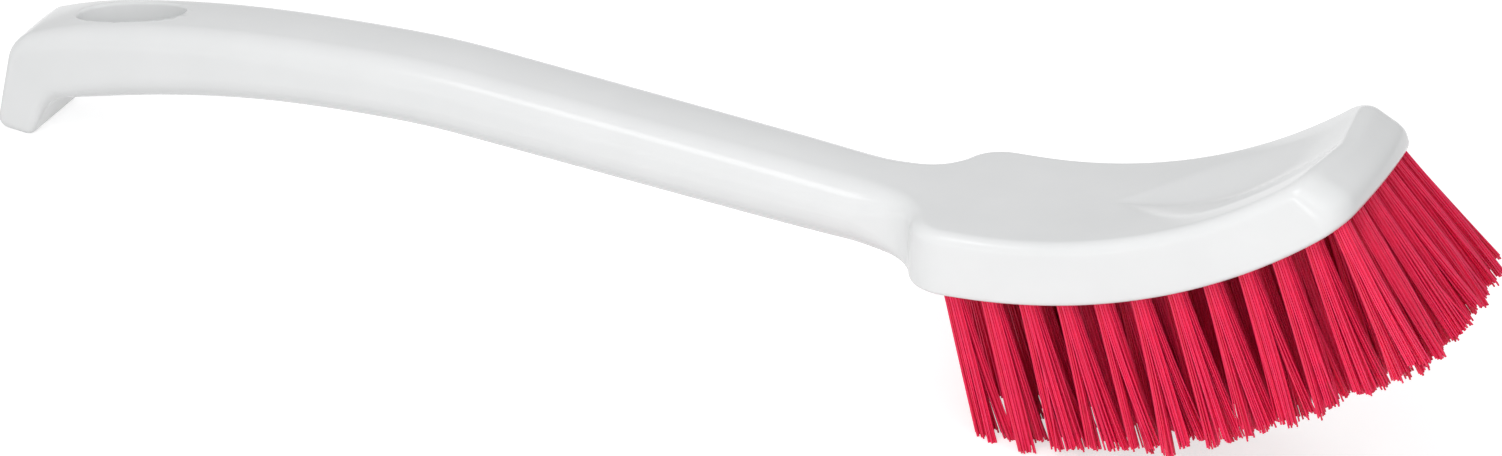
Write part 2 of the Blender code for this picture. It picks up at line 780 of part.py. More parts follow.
def simple_material(name, colour, roughness):
    """Principled material with one colour."""
    material = bpy.data.materials.new(name)
    material.use_nodes = True
    shader = material.node_tree.nodes["Principled BSDF"]
    shader.inputs["Base Color"].default_value = colour
    shader.inputs["Roughness"].default_value = roughness
    shader.inputs["Metallic"].default_value = 0
    material.diffuse_color = colour
    return material


def brush_body():
    """The moulding with its hang hole, scoop, tuft holes and notches."""
    material = simple_material("white_polypropylene", PLASTIC_COLOUR, PLASTIC_ROUGHNESS)
    body = add_object("brush_body", body_blank, material)
    for cutter in (hang_hole, scoop, tuft_holes, anchor_notches):
        boolean(body, add_helper(f"{cutter.__name__}_cutter", cutter), "DIFFERENCE")
    body.data.shade_smooth()
    body.data.set_sharp_from_angle(angle=SHARP_ANGLE)


def tufts():
    """Every tuft with its anchor."""
    material = simple_material("red_polyester", BRISTLE_COLOUR, BRISTLE_ROUGHNESS)
    for name, *place in tuft_places():
        frame = tuft_frame(*place)
        made = add_object(name, tuft, material, place[0], frame)
        boolean(made, add_helper(f"anchor_of_{name}", anchor, frame), "UNION")


clear_scene()
brush_body()
tufts()
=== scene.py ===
"""Looks of the long-handled cleaning brush: a fine moulding and filament tufts on the CAD frame.

Units are metres in the row frame: +Z up, +X from the hook to the head, y = 0 in the middle. The
moulding is lofted from the sizes of the CAD body, with finer steps, round rims, a softer shoulder
and a deeper scoop. Each CAD tuft is replaced by round filaments that start in the same hole.
"""

import math
import random

import bmesh
import bpy
from mathutils import Matrix, Vector


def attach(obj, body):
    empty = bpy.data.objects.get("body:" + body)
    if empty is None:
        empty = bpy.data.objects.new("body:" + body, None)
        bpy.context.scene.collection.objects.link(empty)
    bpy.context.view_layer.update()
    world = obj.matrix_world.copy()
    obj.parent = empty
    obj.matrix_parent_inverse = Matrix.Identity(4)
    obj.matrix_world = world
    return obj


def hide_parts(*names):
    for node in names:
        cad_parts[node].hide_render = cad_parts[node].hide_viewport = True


# Spine: (length, turn) of each tangent arc, from the hook to the front of the head.
SPINE_START_X = -0.14866
SPINE_START_Z = 0.01385
SPINE_START_HEADING = math.radians(28)
HOOK_ARC = (0.0160, math.radians(-10.6))
HANDLE_ARC = (0.0420, math.radians(-9.1))
HANDLE_FLAT_ARC = (0.0220, math.radians(-2.6))
HANDLE_BEND = (0.0164, math.radians(-5.2))
HANDLE_STRAIGHT = (0.0778, 0)
NECK_ARC = (0.0362, math.radians(7.5))
HEAD_ARC = (0.0787, math.radians(38.6))
HANDLE_ARCS = (HANDLE_ARC, HANDLE_FLAT_ARC, HANDLE_BEND, HANDLE_STRAIGHT)
SPINE = (HOOK_ARC, *HANDLE_ARCS, NECK_ARC, HEAD_ARC)

# Handle section.
HANDLE_WIDTH = 0.0210
HANDLE_THICKNESS = 0.0142
HANDLE_HOOK_THICKNESS = 0.0161
HANDLE_SWELL_LENGTH = 0.0700
HANDLE_CROWN = 0.0003
HANDLE_RADIUS_HOOK = 0.0045
HANDLE_RADIUS_NECK = 0.0065

# Lip at the hook end, in side view.
END_OVERHANG = 0.0024
END_FACE_HEADING = math.radians(86.4)
END_CORNER_RADIUS = 0.0065
LIP_FOOT_LENGTH = 0.0081
LIP_OUTER_RADIUS = 0.0022
LIP_INNER_RADIUS = 0.0015
LIP_INNER_HEADING = math.radians(72)
LIP_FILLET = 0.0050
UNDERSIDE_HEADING = math.radians(16.5)
LIP_EDGE_RADIUS = 0.0012
LIP_FOOT_EDGE_RADIUS = 0.0009

# Shoulder and head, in plan and in section. The shoulder's inner radius is larger than the CAD's.
SHOULDER_START = 0.1932
SHOULDER_FLANK = math.radians(64)
SHOULDER_INNER_RADIUS = 0.0090
SHOULDER_OUTER_RADIUS = 0.0095
HEAD_WIDTH = 0.0440
HEAD_THICKNESS = 0.0133
HEAD_TIP_THICKNESS = 0.0120
HEAD_TOP_RADIUS = 0.0025
HEAD_UNDER_RADIUS = 0.0010
FRONT_CORNER_RADIUS = 0.0058
FRONT_BULGE = 0.0025
NOSE_HEIGHT = 0.0034
NOSE_RUN = 0.0017
NOSE_SETBACK = 0.0033
NOSE_REACH = 0.0120
NOSE_SOFTNESS = 0.25
THINNING_START = 0.1580
THINNING_LENGTH = 0.0420
EDGE_CHANGE_START = 0.1795
EDGE_CHANGE_LENGTH = 0.0190
TIP_THINNING_START = 0.2070

# Hang hole, with a round rim.
HANG_HOLE_PLACE = 0.0200
HANG_HOLE_LENGTH = 0.0240
HANG_HOLE_WIDTH = 0.0098
HANG_HOLE_ROUNDNESS = 2.3
HANG_HOLE_DRAFT = math.radians(2)
HANG_HOLE_RIM = 0.0007
HANG_HOLE_RIM_TURN = math.radians(82)

# Scoop: two slopes that meet in a soft valley, pointed at the rear and open at the front rim.
SCOOP_START = 0.2350
SCOOP_HALF_WIDTH = 0.0128
SCOOP_WIDENING_LENGTH = 0.0260
SCOOP_DEPTH = 0.0027
SCOOP_RIM_DEPTH = 0.0010
SCOOP_REACH = 0.0040
SCOOP_DEEPEST_SHARE = 0.5
SCOOP_SOFTNESS = 0.14
SCOOP_VALLEY_SHARE = 0.12

# Tufts.
SHOULDER_TO_TUFTS = 0.0123
TUFT_START = SHOULDER_START + SHOULDER_TO_TUFTS
TUFT_PITCH = 0.00745
TUFT_COUNT = 11
OUTER_ROW_INSET = 0.0045
OUTER_ROW_Y = HEAD_WIDTH / 2 - OUTER_ROW_INSET
MID_ROW_Y = OUTER_ROW_Y / 2
MID_ROW_LAG = 0.0039
MID_ROW_PITCH = 0.0090
MID_ROW_COUNT = 9
CENTRE_ROW_LEAD = 0.0043
CENTRE_ROW_SPREAD = 0.0028
FRONT_INSET = 0.0034
FRONT_COUNT = 7
FRONT_LEAN_SIDES = math.radians(42)
FRONT_LEAN_MIDDLE = math.radians(45)
FRONT_SIDE_LEAN = math.radians(14)
TUFT_LEAN_REAR = math.radians(22.7)
TUFT_LEAN_FRONT = math.radians(29.3)
HOLE_DIAMETER = 0.0042
HOLE_DEPTH = 0.0075
TUFT_LENGTH = 0.0322
TUFT_LENGTH_FRONT = 0.0317
TUFT_SHORTENING_START = 0.2620

# Filaments: how they stand in clumps, and how both spread, bend and differ in length.
FILAMENT_COUNT = 80
FILAMENT_DIAMETER = 0.00040
FILAMENT_SIDES = 5
FILAMENT_SEGMENTS = 6
FILAMENT_ROOT_DEPTH = 0.0030
BUNDLE_RADIUS = 0.00180
CLUMP_FLARE = 2.25
FILAMENT_FLARE = 1.25
CLUMP_CENTRE_SHARE = 0.6
CLUMP_COUNT = 6
CLUMP_DRIFT = 0.00070
FILAMENT_DRIFT = 0.00016
TUFT_DRIFT = 0.0003
STRAY_SHARE = 0.04
STRAY_DRIFT = 0.0011
CLUMP_LENGTH_SPREAD = 0.0008
FILAMENT_LENGTH_SPREAD = 0.00035

# Trim: a tip's middle stays this far above the table, and its slope is taken over this share.
TABLE_CLEARANCE = 0.00005
TIP_SLOPE_SHARE = 0.1

# Loft resolution.
ARC_STATIONS = {
    HOOK_ARC: 10,
    HANDLE_ARC: 19,
    HANDLE_FLAT_ARC: 10,
    HANDLE_BEND: 10,
    HANDLE_STRAIGHT: 26,
    NECK_ARC: 18,
    HEAD_ARC: 64,
}
LIP_CORNER_STEPS = 8
LIP_FACE_STEPS = 8
PLAN_CORNER_STEPS = 14
SHOULDER_FLANK_STEPS = 4
UNDER_CORNER_STEPS = 6
WALL_STEPS = 12
WALL_SHARES = tuple(step / WALL_STEPS for step in range(1, WALL_STEPS))
TOP_CORNER_STEPS = 12
STRIP_STEPS = 44
FRONT_STEPS = 12
HANG_HOLE_POINTS = 96
RIM_STEPS = 6
HOLE_SIDES = 24
MERGE_DISTANCE = 0.000001

# Shading: noises as (scale per metre, detail), ramps as (position, colour) stops, bumps as
# (strength, distance).
PLASTIC_CLOUD = (60, 3)
PLASTIC_TONES = ((0.3, (0.845, 0.855, 0.855, 1)), (0.7, (0.875, 0.883, 0.883, 1)))
PLASTIC_POLISH = (120, 2)
PLASTIC_ROUGHNESS = (0.16, 0.18)
PLASTIC_REFLECTION = 0.35
PLASTIC_RIPPLE = (700, 1)
PLASTIC_BUMP = (0.10, 0.000006)
BRISTLE_TONES = (
    (0.0, (0.84, 0.003, 0.055, 1)),
    (0.5, (0.97, 0.010, 0.090, 1)),
    (1.0, (1.00, 0.030, 0.135, 1)),
)
BRISTLE_CLOUD = (350, 2)
BRISTLE_CLOUD_TONES = ((0.3, (0.72, 0.72, 0.72, 1)), (0.7, (1, 1, 1, 1)))
BRISTLE_CLOUD_SHARE = 0.35
BRISTLE_ROUGHNESS = 0.32
BRISTLE_RIPPLE = (4000, 1)
BRISTLE_BUMP = (0.08, 0.00005)
FLOOR_CLOUD = (3, 2)
FLOOR_TONES = ((0.3, (0.68, 0.68, 0.68, 1)), (0.7, (0.71, 0.71, 0.71, 1)))
FLOOR_ROUGHNESS = 0.9
MOULDING_SHARP_ANGLE = math.radians(50)
FILAMENT_SHARP_ANGLE = math.radians(80)

# Camera: the photograph's view, found by matching the outline.
CAMERA_TARGET = Vector((0.00625, 0.0, 0.0201))
CAMERA_DISTANCE = 1.6
CAMERA_RIGHT = Vector((0.921106, 0.373, 0.111508))
CAMERA_UP = Vector((-0.264357, 0.389, 0.882494))
CAMERA_BACK = Vector((0.285792, -0.84235, 0.456915))
CAMERA_LENS = 191.7
SENSOR_WIDTH = 36
CLIP_NEAR = 0.05
CLIP_FAR = 100

# Surroundings: sky grey levels, the floor and the softboxes (name, place, target, size, power).
SKY_ZENITH = 0.63
SKY_HORIZON = 0.60
SKY_ZENITH_BLUE = 1.01
SKY_ZENITH_STOP = 0.8
FLOOR_LIFT = 0.62
FLOOR_SIZE = 60.0
LIGHTS = (
    ("strip", (-0.20, -0.56, 0.72), (0.04, 0, 0.03), (0.40, 0.28), 1.38),
    ("front", (0.16, -0.70, 0.46), (0.06, 0, 0.03), (0.50, 0.40), 0.74),
    ("head_fill", (0.22, -0.42, 0.14), (0.12, 0, 0.04), (0.36, 0.24), 0.19),
    ("side_fill", (0.05, -0.36, 0.03), (0.05, 0, 0.03), (0.16, 0.10), 0.18),
)


def spine_length():
    """Whole length of the spine."""
    return sum(length for length, turn in SPINE)


def spine_frame(place):
    """(x, z, heading) of the spine at this distance from its start."""
    x, z, heading = SPINE_START_X, SPINE_START_Z, SPINE_START_HEADING
    left = place
    for number, (length, turn) in enumerate(SPINE):
        is_last = number == len(SPINE) - 1
        run = left if is_last else min(left, length)
        swing = turn * run / length
        if swing:
            radius = run / swing
            x += radius * (math.sin(heading + swing) - math.sin(heading))
            z += radius * (math.cos(heading) - math.cos(heading + swing))
        else:
            x += run * math.cos(heading)
            z += run * math.sin(heading)
        heading += swing
        left -= run
        if left <= 0:
            break
    return x, z, heading


def on_spine(place, y, height):
    """World point at this place along the spine, y across it and height above it."""
    x, z, heading = spine_frame(place)
    return Vector((x - height * math.sin(heading), y, z + height * math.cos(heading)))


def eased(value):
    """Smooth step from 0 to 1."""
    share = min(max(value, 0), 1)
    return share * share * (3 - 2 * share)


def between(first, last, share):
    """Number or vector that lies this share of the way from first to last."""
    return first + (last - first) * share


def head_share(place):
    """0 on the handle, 1 on the head."""
    return eased((place - THINNING_START) / THINNING_LENGTH)


def half_thickness(place):
    """Half the body's thickness at this place along the spine."""
    tip_run = spine_length() - TIP_THINNING_START
    tip_share = min(max((place - TIP_THINNING_START) / tip_run, 0), 1)
    head = between(HEAD_THICKNESS, HEAD_TIP_THICKNESS, tip_share)
    swell = 1 - eased(place / HANDLE_SWELL_LENGTH)
    handle = between(HANDLE_THICKNESS, HANDLE_HOOK_THICKNESS, swell)
    return between(handle, head, head_share(place)) / 2


def edge_radius(place, head):
    """Edge radius at this place along the spine, which ends at its value on the head."""
    run = min(max(place / EDGE_CHANGE_START, 0), 1)
    handle = between(HANDLE_RADIUS_HOOK, HANDLE_RADIUS_NECK, run)
    return between(handle, head, eased((place - EDGE_CHANGE_START) / EDGE_CHANGE_LENGTH))


def scoop_depth(share):
    """Depth of the scoop's middle at this share of its length."""
    if share < SCOOP_DEEPEST_SHARE:
        return SCOOP_DEPTH * math.sin(math.pi / 2 * share / SCOOP_DEEPEST_SHARE)
    shallower = (share - SCOOP_DEEPEST_SHARE) / (1 - SCOOP_DEEPEST_SHARE)
    return between(SCOOP_DEPTH, SCOOP_RIM_DEPTH, shallower)


def scoop_cut(place, y, height):
    """How far the scoop lowers a point of the moulding."""
    run = place - SCOOP_START
    if run <= 0:
        return 0.0
    length = spine_length() + FRONT_BULGE - SCOOP_START
    widened = min(run / SCOOP_WIDENING_LENGTH, 1)
    half_width = SCOOP_HALF_WIDTH * math.sin(math.pi / 2 * widened)
    # Two slopes that meet in a rounded valley and fade out softly at the border.
    across = math.hypot(y / half_width, SCOOP_VALLEY_SHARE)
    bowl = 1 + SCOOP_VALLEY_SHARE - across
    bowl = (bowl + math.sqrt(bowl * bowl + SCOOP_SOFTNESS ** 2)) / 2
    near_top = eased((height - half_thickness(place) + SCOOP_REACH) / SCOOP_REACH)
    return scoop_depth(min(run / length, 1)) * bowl * near_top


def filleted_corner(before, corner, after, radius, steps):
    """Points of the arc that rounds this corner of a flat path, ends included."""
    back = (before - corner).normalized()
    on = (after - corner).normalized()
    half_angle = math.acos(back.dot(on)) / 2
    reach = radius / math.tan(half_angle)
    centre = corner + (back + on).normalized() * radius / math.sin(half_angle)
    start = corner + back * reach - centre
    side = 1 if start[1] * back[0] - start[0] * back[1] > 0 else -1
    sweep = side * (math.pi - 2 * half_angle)
    points = []
    for step in range(steps + 1):
        angle = sweep * step / steps
        cosine, sine = math.cos(angle), math.sin(angle)
        points.append(centre + Vector((
            start[0] * cosine - start[1] * sine,
            start[0] * sine + start[1] * cosine,
        )))
    return points


def crossing(first, first_heading, second, second_heading):
    """Where two flat lines, each a point and a heading, meet."""
    first_run = (math.cos(first_heading), math.sin(first_heading))
    second_run = (math.cos(second_heading), math.sin(second_heading))
    across = first_run[0] * second_run[1] - first_run[1] * second_run[0]
    gap = second - first
    run = (gap[0] * second_run[1] - gap[1] * second_run[0]) / across
    return first + Vector(first_run) * run


def legs(start, end, steps):
    """Points inside a straight leg, both ends left out."""
    return [between(start, end, step / steps) for step in range(1, steps)]


def lip_paths():
    """Outer and inner side-view paths of the lip, foot first, with matching points."""
    start_top = on_spine(0, 0, half_thickness(0)).xz
    back = Vector((math.cos(SPINE_START_HEADING), math.sin(SPINE_START_HEADING)))
    corner = start_top - back * END_OVERHANG
    foot_outer = Vector((corner[0] - corner[1] / math.tan(END_FACE_HEADING), 0))
    foot_inner = foot_outer + Vector((LIP_FOOT_LENGTH, 0))
    sweep_under = on_spine(HOOK_ARC[0], 0, -half_thickness(HOOK_ARC[0])).xz
    inner_corner = crossing(foot_inner, LIP_INNER_HEADING, sweep_under, UNDERSIDE_HEADING)

    foot_middle = between(foot_outer, foot_inner, 0.5)
    steps = LIP_CORNER_STEPS
    outer_foot = filleted_corner(foot_middle, foot_outer, corner, LIP_OUTER_RADIUS, steps)
    outer_top = filleted_corner(foot_outer, corner, start_top, END_CORNER_RADIUS, steps)
    inner_foot = filleted_corner(foot_middle, foot_inner, inner_corner, LIP_INNER_RADIUS, steps)
    inner_top = filleted_corner(foot_inner, inner_corner, sweep_under, LIP_FILLET, steps)
    outer = outer_foot + legs(outer_foot[-1], outer_top[0], LIP_FACE_STEPS) + outer_top
    inner = inner_foot + legs(inner_foot[-1], inner_top[0], LIP_FACE_STEPS) + inner_top
    steps = ARC_STATIONS[HOOK_ARC]
    for step in range(1, steps):
        place = HOOK_ARC[0] * step / steps
        outer.append(on_spine(place, 0, half_thickness(place)).xz)
    inner += legs(inner_top[-1], sweep_under, steps)
    return outer, inner


def section(half_width, outward, half_height, top_edge, under_edge, rise):
    """One ring's points as (run, y, height): near side up, top across, far side down, bottom."""
    side = []
    for step in range(UNDER_CORNER_STEPS + 1):
        angle = math.pi / 2 * step / UNDER_CORNER_STEPS
        inset = under_edge * (1 - math.sin(angle))
        side.append((inset, under_edge * (1 - math.cos(angle)) - half_height))
    wall_top = half_height - top_edge
    side += [(0, between(side[-1][1], wall_top, share)) for share in WALL_SHARES]
    for step in range(TOP_CORNER_STEPS + 1):
        angle = math.pi / 2 * step / TOP_CORNER_STEPS
        inset = top_edge * (1 - math.cos(angle))
        side.append((inset, half_height - top_edge * (1 - math.sin(angle))))
    near = []
    for inset, height in side:
        y = max(half_width - outward[1] * inset, 0)
        near.append((-outward[0] * inset, -y, height))
    far = [(run, -y, height) for run, y, height in near]
    top = []
    bottom = []
    for step in range(1, STRIP_STEPS):
        across = 2 * step / STRIP_STEPS - 1
        run, y, height = far[-1]
        top.append((run, y * across, height + rise * (1 - across * across)))
        run, y, height = far[0]
        bottom.append((run, -y * across, height))
    return near + top + far[::-1] + bottom


def lip_rings():
    """Rings that fan from the foot of the lip up and round into the handle."""
    outer, inner = lip_paths()
    rings = []
    for number, (high, low) in enumerate(zip(outer, inner)):
        centre = (high + low) / 2
        half_height = (high - low).length / 2
        up = (high - low) / half_height / 2
        foot_share = min(number / LIP_CORNER_STEPS, 1)
        dip = LIP_FOOT_EDGE_RADIUS * (1 - math.sin(math.pi / 2 * foot_share))
        grown = eased((number - LIP_CORNER_STEPS) / (len(outer) - LIP_CORNER_STEPS))
        edge = between(LIP_EDGE_RADIUS, HANDLE_RADIUS_HOOK, grown)
        half_width = HANDLE_WIDTH / 2 - dip
        points = section(half_width, (0, 1), half_height, edge, edge, grown * HANDLE_CROWN)
        rings.append([
            Vector((centre[0] + up[0] * height, y, centre[1] + up[1] * height))
            for run, y, height in points
        ])
    return rings


def front_shift(place, half_width):
    """How far the front's bulge carries a point of the plan outline forward."""
    near_front = eased((place - spine_length() + FRONT_CORNER_RADIUS) / FRONT_CORNER_RADIUS)
    share = half_width / (HEAD_WIDTH / 2)
    return near_front * FRONT_BULGE * (1 - share * share)


def plan_outline():
    """(place, half width) pairs of the body in plan, from the end of the hook to the front."""
    handle = HANDLE_WIDTH / 2
    head = HEAD_WIDTH / 2
    length = spine_length()
    flank = (head - handle) / math.tan(SHOULDER_FLANK)
    start = Vector((HOOK_ARC[0], handle))
    inner_corner = Vector((SHOULDER_START, handle))
    outer_corner = Vector((SHOULDER_START + flank, head))
    front_corner = Vector((length, head))
    front_middle = Vector((length, 0))
    steps = PLAN_CORNER_STEPS
    inner_arc = filleted_corner(start, inner_corner, outer_corner, SHOULDER_INNER_RADIUS, steps)
    outer_arc = filleted_corner(
        inner_corner, outer_corner, front_corner, SHOULDER_OUTER_RADIUS, steps)
    front_arc = filleted_corner(
        outer_corner, front_corner, front_middle, FRONT_CORNER_RADIUS, steps)

    outline = []
    begin = HOOK_ARC[0]
    for arc in HANDLE_ARCS:
        count = ARC_STATIONS[arc]
        outline += [Vector((begin + arc[0] * step / count, handle)) for step in range(count)]
        begin += arc[0]
    outline += legs(Vector((begin, handle)), inner_arc[0], ARC_STATIONS[NECK_ARC] // 2)
    outline += inner_arc
    outline += legs(inner_arc[-1], outer_arc[0], SHOULDER_FLANK_STEPS)
    outline += outer_arc
    outline += legs(outer_arc[-1], front_arc[0], ARC_STATIONS[HEAD_ARC])
    outline += front_arc
    outline += legs(front_arc[-1], front_middle, FRONT_STEPS)
    outline.append(front_middle)
    return [(place + front_shift(place, width), width) for place, width in outline]


def nose_shift(place, height):
    """How far the front wall's rounded nose carries a point forward, by its height."""
    above = height + half_thickness(place)
    share = (above - NOSE_HEIGHT) / (2 * half_thickness(place) - NOSE_HEIGHT)
    below = 1 - above / NOSE_HEIGHT
    rounding = NOSE_SOFTNESS * max(1 - abs(share) / NOSE_SOFTNESS, 0) ** 2
    fall = max(NOSE_SETBACK * share, NOSE_RUN * below)
    shift = NOSE_RUN - fall - NOSE_SETBACK * rounding / 2
    return shift * eased((place - spine_length() + NOSE_REACH) / NOSE_REACH)


def outward_normals(outline):
    """Outward normal (run, y) of the plan outline at each of its points."""
    normals = []
    for number in range(len(outline)):
        before = Vector(outline[max(number - 1, 0)])
        after = Vector(outline[min(number + 1, len(outline) - 1)])
        along = (after - before).normalized()
        normals.append((-along[1], along[0]))
    normals[-1] = (1, 0)
    return normals


def sweep_rings():
    """Rings of the handle, shoulder and head, square to the spine, with the scoop pressed in."""
    outline = plan_outline()
    rings = []
    for (place, half_width), outward in zip(outline, outward_normals(outline)):
        points = section(
            half_width,
            outward,
            half_thickness(place),
            edge_radius(place, HEAD_TOP_RADIUS),
            edge_radius(place, HEAD_UNDER_RADIUS),
            HANDLE_CROWN * (1 - head_share(place)),
        )
        ring = []
        for run, y, height in points:
            cut = scoop_cut(place + run, y, height)
            shift = nose_shift(place + run, height)
            ring.append(on_spine(place + run + shift, y, height - cut))
        rings.append(ring)
    return rings


def skin(mesh, rings, closed_ends):
    """Skin consecutive rings of points, leave out faces that shrink to nothing, cap the ends."""
    made = {}

    def vertex(point):
        key = tuple(round(value / MERGE_DISTANCE) for value in point)
        if key not in made:
            made[key] = mesh.verts.new(point)
        return made[key]

    loops = [[vertex(point) for point in ring] for ring in rings]
    for loop, following in zip(loops, loops[1:]):
        for index, corner in enumerate(loop):
            step = (index + 1) % len(loop)
            face = [corner, loop[step], following[step], following[index]]
            face = [v for number, v in enumerate(face) if v is not face[number - 1]]
            if len(set(face)) > 2:
                mesh.faces.new(face)
    for loop in closed_ends:
        mesh.faces.new(loops[loop])
    bmesh.ops.recalc_face_normals(mesh, faces=mesh.faces)


def make_object(name, mesh_maker, *values):
    """Object of this name with the mesh that mesh_maker builds."""
    mesh = bmesh.new()
    mesh_maker(mesh, *values)
    data = bpy.data.meshes.new(name)
    mesh.to_mesh(data)
    mesh.free()
    thing = bpy.data.objects.new(name, data)
    bpy.context.scene.collection.objects.link(thing)
    return thing


def moulding_mesh(mesh):
    """The moulding with its scoop, before its holes are cut."""
    skin(mesh, lip_rings() + sweep_rings(), [0])


def hang_hole_mesh(mesh):
    """Cutter of the hang hole, which flares into a round rim at both faces."""
    face = half_thickness(HANG_HOLE_PLACE)
    levels = [(0.0, 0.0)]
    for step in range(RIM_STEPS + 1):
        angle = HANG_HOLE_RIM_TURN * step / RIM_STEPS
        height = face - HANG_HOLE_RIM + HANG_HOLE_RIM * math.sin(angle)
        growth = height * math.tan(HANG_HOLE_DRAFT) + HANG_HOLE_RIM * (1 - math.cos(angle))
        levels.append((height, growth))
    levels.append((face + HANG_HOLE_RIM, levels[-1][1] + HANG_HOLE_RIM))
    levels = [(-height, growth) for height, growth in levels[:0:-1]] + levels
    power = 2 / HANG_HOLE_ROUNDNESS
    x, z, heading = spine_frame(HANG_HOLE_PLACE)
    along = Vector((math.cos(heading), 0, math.sin(heading)))
    up = Vector((-math.sin(heading), 0, math.cos(heading)))
    rings = []
    for height, growth in levels:
        ring = []
        for step in range(HANG_HOLE_POINTS):
            angle = 2 * math.pi * step / HANG_HOLE_POINTS
            cosine, sine = math.cos(angle), math.sin(angle)
            run = (HANG_HOLE_LENGTH / 2 + growth) * math.copysign(abs(cosine) ** power, cosine)
            y = (HANG_HOLE_WIDTH / 2 + growth) * math.copysign(abs(sine) ** power, sine)
            ring.append(Vector((x, y, z)) + along * run + up * height)
        rings.append(ring)
    skin(mesh, rings, [0, -1])


def row_lean(place):
    """Forward lean of a tuft in the rows, which grows from the rear to the front."""
    share = (place - TUFT_START) / (TUFT_PITCH * TUFT_COUNT)
    return between(TUFT_LEAN_REAR, TUFT_LEAN_FRONT, share)


def tuft_places():
    """(name, place along the spine, y, lean forward, lean sideways) of every tuft."""
    rows = (
        ("near", -OUTER_ROW_Y, TUFT_START, TUFT_PITCH, TUFT_COUNT, 0),
        ("mid_near", -MID_ROW_Y, TUFT_START + MID_ROW_LAG, MID_ROW_PITCH, MID_ROW_COUNT, 0),
        ("centre", 0, TUFT_START - CENTRE_ROW_LEAD, TUFT_PITCH, TUFT_COUNT, CENTRE_ROW_SPREAD),
        ("mid_far", MID_ROW_Y, TUFT_START + MID_ROW_LAG, MID_ROW_PITCH, MID_ROW_COUNT, 0),
        ("far", OUTER_ROW_Y, TUFT_START, TUFT_PITCH, TUFT_COUNT, 0),
    )
    places = []
    for name, y, start, pitch, count, spread in rows:
        for number in range(count):
            place = start + number * pitch + spread * (number / (count - 1)) ** 3
            places.append((f"tuft_{name}_{number + 1:02d}", place, y, row_lean(place), 0))
    for number in range(FRONT_COUNT):
        across = 2 * number / (FRONT_COUNT - 1) - 1
        y = OUTER_ROW_Y * across
        bulge = FRONT_BULGE * (1 - (y / (HEAD_WIDTH / 2)) ** 2)
        place = spine_length() + bulge - FRONT_INSET
        lean = between(FRONT_LEAN_MIDDLE, FRONT_LEAN_SIDES, across * across)
        places.append((f"tuft_front_{number + 1:02d}", place, y, lean, FRONT_SIDE_LEAN * across))
    return places


def tuft_frame(place, y, lean, side_lean):
    """Root on the underside, outward axis and the two directions across the axis."""
    root = on_spine(place, y, -half_thickness(place))
    axis = Vector((math.sin(lean), math.tan(side_lean), -math.cos(lean))).normalized()
    across = (Vector((0, 1, 0)) - axis * axis[1]).normalized()
    along = across.cross(axis)
    return root, axis, across, along


def tuft_holes_mesh(mesh):
    """All the blind holes as one cutter."""
    for name, *place in tuft_places():
        root, axis, across, along = tuft_frame(*place)
        rings = []
        for out in (-HOLE_DEPTH, HOLE_DIAMETER):
            ring = []
            for step in range(HOLE_SIDES):
                angle = 2 * math.pi * step / HOLE_SIDES
                side = across * math.cos(angle) + along * math.sin(angle)
                ring.append(root + axis * out + side * HOLE_DIAMETER / 2)
            rings.append(ring)
        skin(mesh, rings, [0, -1])


def tuft_length(place):
    """Free length of a tuft that is rooted at this place along the spine."""
    run = spine_length() - TUFT_SHORTENING_START
    share = max((place - TUFT_SHORTENING_START) / run, 0)
    return between(TUFT_LENGTH, TUFT_LENGTH_FRONT, share)


def round_sample(source, spread):
    """Random flat vector, normally distributed with this spread."""
    return Vector((source.gauss(0, spread), source.gauss(0, spread)))


def filament(mesh, points, across, along):
    """One filament of even thickness through these points, closed at both ends."""
    rings = []
    for point in points:
        ring = []
        for step in range(FILAMENT_SIDES):
            angle = 2 * math.pi * step / FILAMENT_SIDES
            side = across * math.cos(angle) + along * math.sin(angle)
            ring.append(mesh.verts.new(point + side * FILAMENT_DIAMETER / 2))
        rings.append(ring)
    for ring, following in zip(rings, rings[1:]):
        for number in range(FILAMENT_SIDES):
            step = (number + 1) % FILAMENT_SIDES
            mesh.faces.new((ring[number], ring[step], following[step], following[number]))
    mesh.faces.new(rings[0][::-1])
    mesh.faces.new(rings[-1])


def filament_starts():
    """(start, clump, clump's centre) of each filament of a tuft, flat across its axis."""
    golden_angle = math.pi * (3 - math.sqrt(5))
    starts = []
    for number in range(FILAMENT_COUNT):
        radius = BUNDLE_RADIUS * math.sqrt((number + 0.5) / FILAMENT_COUNT)
        angle = golden_angle * number
        start = Vector((radius * math.cos(angle), radius * math.sin(angle)))
        clump = int((angle % (2 * math.pi)) / (2 * math.pi) * CLUMP_COUNT) % CLUMP_COUNT
        middle_angle = 2 * math.pi * (clump + 0.5) / CLUMP_COUNT
        centre = Vector((math.cos(middle_angle), math.sin(middle_angle)))
        centre *= BUNDLE_RADIUS * CLUMP_CENTRE_SHARE
        starts.append((start, clump, centre))
    return starts


def fanned(start, centre, drift, spread):
    """Flat place of a filament where its tuft has spread by this share."""
    flat = centre * (1 + (CLUMP_FLARE - 1) * spread)
    flat += (start - centre) * (1 + (FILAMENT_FLARE - 1) * spread)
    flat += drift * spread * spread
    return flat


